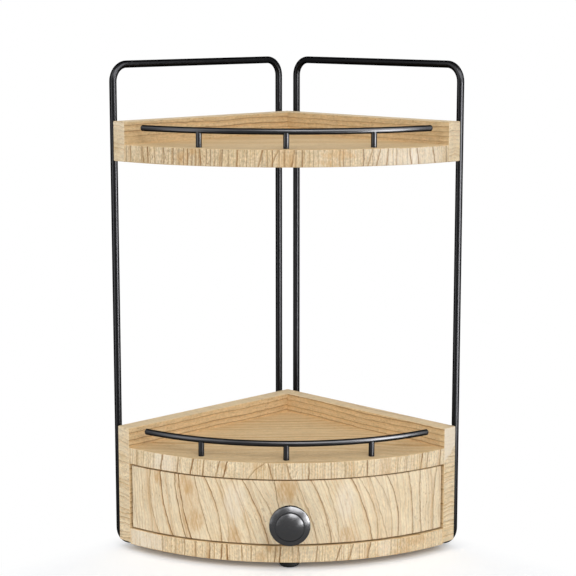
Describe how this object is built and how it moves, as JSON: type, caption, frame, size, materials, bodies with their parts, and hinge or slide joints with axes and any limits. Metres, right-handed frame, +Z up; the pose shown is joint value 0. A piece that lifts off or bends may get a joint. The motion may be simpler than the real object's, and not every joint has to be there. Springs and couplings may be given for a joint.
{
  "type": "corner countertop organizer with drawer",
  "caption": "Quarter-round corner organizer for a countertop: open wooden shelves with guard rails between bent rod frames, above a fan-shaped drawer with a round knob.",
  "frame": {"origin": "on the floor, under the middle of the bounding box with the drawer shut", "axes": "+Z up, +Y towards the right-angled rear corner, so the rounded front and its knob face -Y"},
  "size_m": [0.2888, 0.2256, 0.409],
  "materials": {
    "light_wood": "pale straw-coloured board with brown grain lines, matt lacquer",
    "drawer_wood": "thin pale board, sanded and unlacquered",
    "black_metal": "satin black coating",
    "black_rubber": "matt moulded rubber",
    "zinc_steel": "bright zinc-plated screws"
  },
  "bodies": {
    "carcass": {"left_frame": "black_metal", "right_frame": "black_metal", "left_frame_screws": "black_metal", "right_frame_screws": "black_metal", "upper_shelf": "light_wood", "upper_left_panel": "light_wood", "upper_right_panel": "light_wood", "upper_panel_screws": "zinc_steel", "upper_guard_rail": "black_metal", "upper_rail_posts": "black_metal", "upper_rail_screws": "zinc_steel", "lower_shelf": "light_wood", "base_board": "light_wood", "base_left_panel": "light_wood", "base_right_panel": "light_wood", "base_panel_screws": "zinc_steel", "lower_guard_rail": "black_metal", "lower_rail_posts": "black_metal", "lower_rail_screws": "zinc_steel", "front_foot": "black_rubber", "front_foot_screw": "zinc_steel", "drawer_guide": "drawer_wood", "drawer_guide_screws": "zinc_steel"},
    "drawer": {"drawer_front": "light_wood", "drawer_left_side": "drawer_wood", "drawer_right_side": "drawer_wood", "drawer_bottom": "drawer_wood", "drawer_runners": "drawer_wood", "drawer_knob": "black_metal", "knob_screw": "zinc_steel"}
  },
  "joints": [
    {"name": "drawer_slide", "type": "slide", "parent": "carcass", "child": "drawer", "axis": [0, -1, 0], "range_m": [0, 0.115]}
  ]
}
